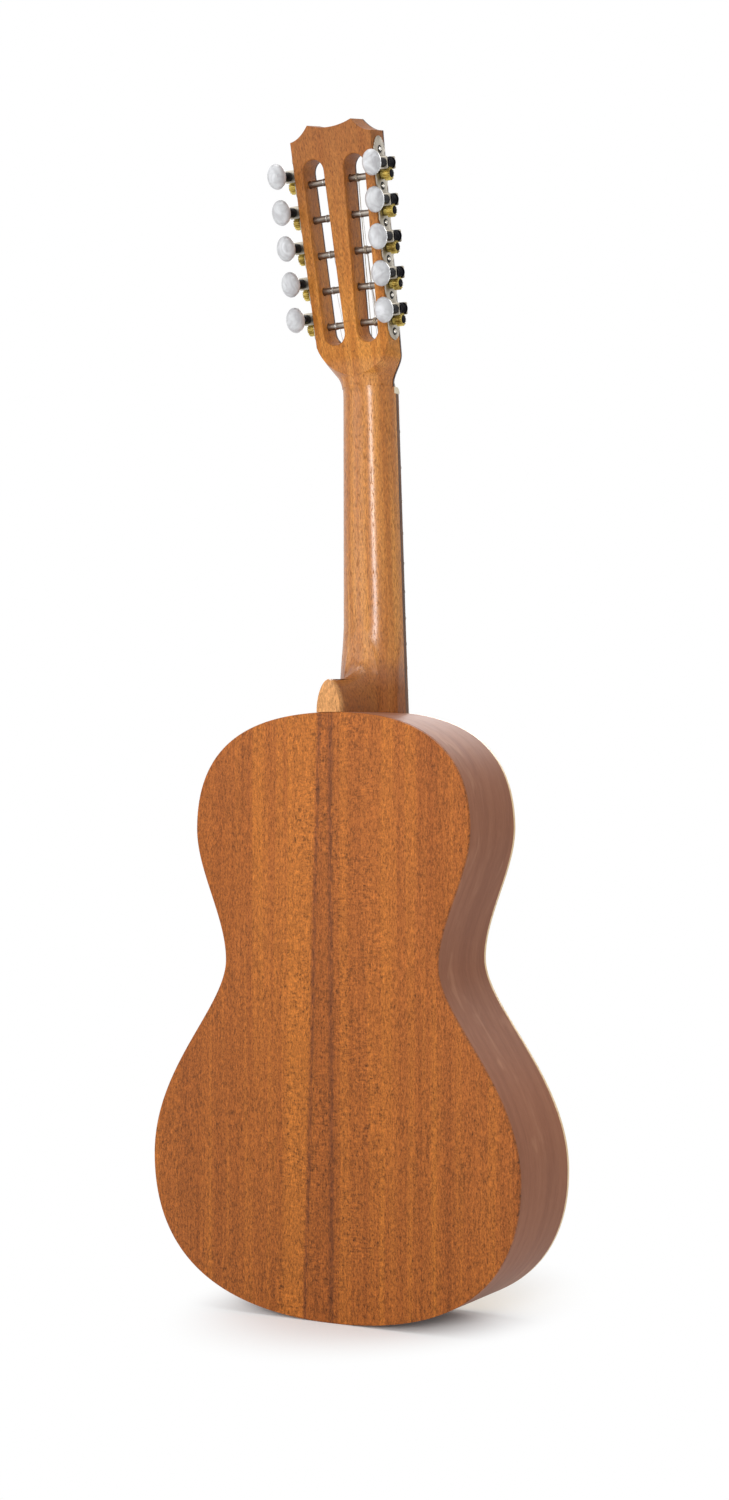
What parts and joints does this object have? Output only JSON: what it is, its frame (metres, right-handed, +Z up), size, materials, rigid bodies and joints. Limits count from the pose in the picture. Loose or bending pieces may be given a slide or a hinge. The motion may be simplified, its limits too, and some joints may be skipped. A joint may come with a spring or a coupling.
{
  "type": "portuguese viola",
  "caption": "Portuguese viola standing upright: guitar-shaped box with a flat back, round-backed neck and slotted headstock with geared tuning machines and paired steel strings.",
  "frame": {"origin": "centre of the bounding box in X and Y, at the lowest point of the tail", "axes": "+Z up along the neck, +Y towards the back of the box, -Y towards the strings, X across"},
  "size_m": [0.307, 0.09, 0.8679],
  "materials": {
    "spruce": "gloss varnish",
    "rosette_wood": "gloss varnish",
    "back_wood": "satin varnish",
    "side_wood": "satin varnish",
    "block_wood": "raw",
    "brace_wood": "raw",
    "neck_wood": "gloss varnish",
    "veneer_wood": "satin varnish",
    "dark_hardwood": "oiled",
    "bone": "polished",
    "pearl": "pearly gloss",
    "nickel": "nickel plated",
    "gear_brass": "polished",
    "black_steel": "black gloss",
    "string_steel": "drawn wire"
  },
  "bodies": {
    "instrument": {"soundboard": "spruce", "rosette": "rosette_wood", "back_left": "back_wood", "back_right": "back_wood", "side_left": "side_wood", "side_right": "side_wood", "tail_block": "block_wood", "neck_block": "block_wood", "soundboard_brace_upper": "brace_wood", "soundboard_brace_lower": "brace_wood", "back_brace_upper": "brace_wood", "back_brace_lower": "brace_wood", "neck": "neck_wood", "headstock_veneer": "veneer_wood", "fingerboard": "dark_hardwood", "nut": "bone", "bridge": "dark_hardwood", "saddle": "bone", "tuner_plate_left": "nickel", "tuner_plate_right": "nickel", "string_1a": "string_steel", "string_1b": "string_steel", "string_2a": "string_steel", "string_2b": "string_steel", "string_3a": "string_steel", "string_3b": "string_steel", "string_4a": "string_steel", "string_4b": "string_steel", "string_5a": "string_steel", "string_5b": "string_steel"},
    "knob_left_1": {"tuner_worm_left_1": "black_steel", "tuner_button_left_1": "pearl"},
    "knob_left_2": {"tuner_worm_left_2": "black_steel", "tuner_button_left_2": "pearl"},
    "knob_left_3": {"tuner_worm_left_3": "black_steel", "tuner_button_left_3": "pearl"},
    "knob_left_4": {"tuner_worm_left_4": "black_steel", "tuner_button_left_4": "pearl"},
    "knob_left_5": {"tuner_worm_left_5": "black_steel", "tuner_button_left_5": "pearl"},
    "knob_right_1": {"tuner_worm_right_1": "black_steel", "tuner_button_right_1": "pearl"},
    "knob_right_2": {"tuner_worm_right_2": "black_steel", "tuner_button_right_2": "pearl"},
    "knob_right_3": {"tuner_worm_right_3": "black_steel", "tuner_button_right_3": "pearl"},
    "knob_right_4": {"tuner_worm_right_4": "black_steel", "tuner_button_right_4": "pearl"},
    "knob_right_5": {"tuner_worm_right_5": "black_steel", "tuner_button_right_5": "pearl"},
    "post_left_1": {"tuner_gear_left_1": "gear_brass"},
    "post_left_2": {"tuner_gear_left_2": "gear_brass"},
    "post_left_3": {"tuner_gear_left_3": "gear_brass"},
    "post_left_4": {"tuner_gear_left_4": "gear_brass"},
    "post_left_5": {"tuner_gear_left_5": "gear_brass"},
    "post_right_1": {"tuner_gear_right_1": "gear_brass"},
    "post_right_2": {"tuner_gear_right_2": "gear_brass"},
    "post_right_3": {"tuner_gear_right_3": "gear_brass"},
    "post_right_4": {"tuner_gear_right_4": "gear_brass"},
    "post_right_5": {"tuner_gear_right_5": "gear_brass"}
  },
  "joints": [
    {"name": "turn_knob_left_1", "type": "hinge", "parent": "instrument", "child": "knob_left_1", "pos_m": [0.03768, -0.01304, 0.73039], "axis": [0, 0.9839, -0.1788], "continuous": true},
    {"name": "turn_knob_left_2", "type": "hinge", "parent": "instrument", "child": "knob_left_2", "pos_m": [0.03832, -0.00839, 0.75597], "axis": [0, 0.9839, -0.1788], "continuous": true},
    {"name": "turn_knob_left_3", "type": "hinge", "parent": "instrument", "child": "knob_left_3", "pos_m": [0.03895, -0.00374, 0.78155], "axis": [0, 0.9839, -0.1788], "continuous": true},
    {"name": "turn_knob_left_4", "type": "hinge", "parent": "instrument", "child": "knob_left_4", "pos_m": [0.03959, 0.00091, 0.80714], "axis": [0, 0.9839, -0.1788], "continuous": true},
    {"name": "turn_knob_left_5", "type": "hinge", "parent": "instrument", "child": "knob_left_5", "pos_m": [0.04022, 0.00555, 0.83272], "axis": [0, 0.9839, -0.1788], "continuous": true},
    {"name": "turn_knob_right_1", "type": "hinge", "parent": "instrument", "child": "knob_right_1", "pos_m": [-0.03768, -0.01304, 0.73039], "axis": [0, 0.9839, -0.1788], "continuous": true},
    {"name": "turn_knob_right_2", "type": "hinge", "parent": "instrument", "child": "knob_right_2", "pos_m": [-0.03832, -0.00839, 0.75597], "axis": [0, 0.9839, -0.1788], "continuous": true},
    {"name": "turn_knob_right_3", "type": "hinge", "parent": "instrument", "child": "knob_right_3", "pos_m": [-0.03895, -0.00374, 0.78155], "axis": [0, 0.9839, -0.1788], "continuous": true},
    {"name": "turn_knob_right_4", "type": "hinge", "parent": "instrument", "child": "knob_right_4", "pos_m": [-0.03959, 0.00091, 0.80714], "axis": [0, 0.9839, -0.1788], "continuous": true},
    {"name": "turn_knob_right_5", "type": "hinge", "parent": "instrument", "child": "knob_right_5", "pos_m": [-0.04022, 0.00555, 0.83272], "axis": [0, 0.9839, -0.1788], "continuous": true},
    {"name": "turn_post_left_1", "type": "hinge", "parent": "instrument", "child": "post_left_1", "pos_m": [0.03089, -0.01441, 0.72288], "axis": [0.9997, -0.0044, -0.024], "continuous": true},
    {"name": "turn_post_left_2", "type": "hinge", "parent": "instrument", "child": "post_left_2", "pos_m": [0.03153, -0.00976, 0.74846], "axis": [0.9997, -0.0044, -0.024], "continuous": true},
    {"name": "turn_post_left_3", "type": "hinge", "parent": "instrument", "child": "post_left_3", "pos_m": [0.03216, -0.00511, 0.77404], "axis": [0.9997, -0.0044, -0.024], "continuous": true},
    {"name": "turn_post_left_4", "type": "hinge", "parent": "instrument", "child": "post_left_4", "pos_m": [0.0328, -0.00046, 0.79962], "axis": [0.9997, -0.0044, -0.024], "continuous": true},
    {"name": "turn_post_left_5", "type": "hinge", "parent": "instrument", "child": "post_left_5", "pos_m": [0.03343, 0.00419, 0.8252], "axis": [0.9997, -0.0044, -0.024], "continuous": true},
    {"name": "turn_post_right_1", "type": "hinge", "parent": "instrument", "child": "post_right_1", "pos_m": [-0.03089, -0.01441, 0.72288], "axis": [0.9997, 0.0044, 0.024], "continuous": true},
    {"name": "turn_post_right_2", "type": "hinge", "parent": "instrument", "child": "post_right_2", "pos_m": [-0.03153, -0.00976, 0.74846], "axis": [0.9997, 0.0044, 0.024], "continuous": true},
    {"name": "turn_post_right_3", "type": "hinge", "parent": "instrument", "child": "post_right_3", "pos_m": [-0.03216, -0.00511, 0.77404], "axis": [0.9997, 0.0044, 0.024], "continuous": true},
    {"name": "turn_post_right_4", "type": "hinge", "parent": "instrument", "child": "post_right_4", "pos_m": [-0.0328, -0.00046, 0.79962], "axis": [0.9997, 0.0044, 0.024], "continuous": true},
    {"name": "turn_post_right_5", "type": "hinge", "parent": "instrument", "child": "post_right_5", "pos_m": [-0.03343, 0.00419, 0.8252], "axis": [0.9997, 0.0044, 0.024], "continuous": true}
  ],
  "couplings": [
    {"joint": "turn_post_left_1", "follows": "turn_knob_left_1", "ratio": 0.071429},
    {"joint": "turn_post_left_2", "follows": "turn_knob_left_2", "ratio": 0.071429},
    {"joint": "turn_post_left_3", "follows": "turn_knob_left_3", "ratio": 0.071429},
    {"joint": "turn_post_left_4", "follows": "turn_knob_left_4", "ratio": 0.071429},
    {"joint": "turn_post_left_5", "follows": "turn_knob_left_5", "ratio": 0.071429},
    {"joint": "turn_post_right_1", "follows": "turn_knob_right_1", "ratio": 0.071429},
    {"joint": "turn_post_right_2", "follows": "turn_knob_right_2", "ratio": 0.071429},
    {"joint": "turn_post_right_3", "follows": "turn_knob_right_3", "ratio": 0.071429},
    {"joint": "turn_post_right_4", "follows": "turn_knob_right_4", "ratio": 0.071429},
    {"joint": "turn_post_right_5", "follows": "turn_knob_right_5", "ratio": 0.071429}
  ]
}
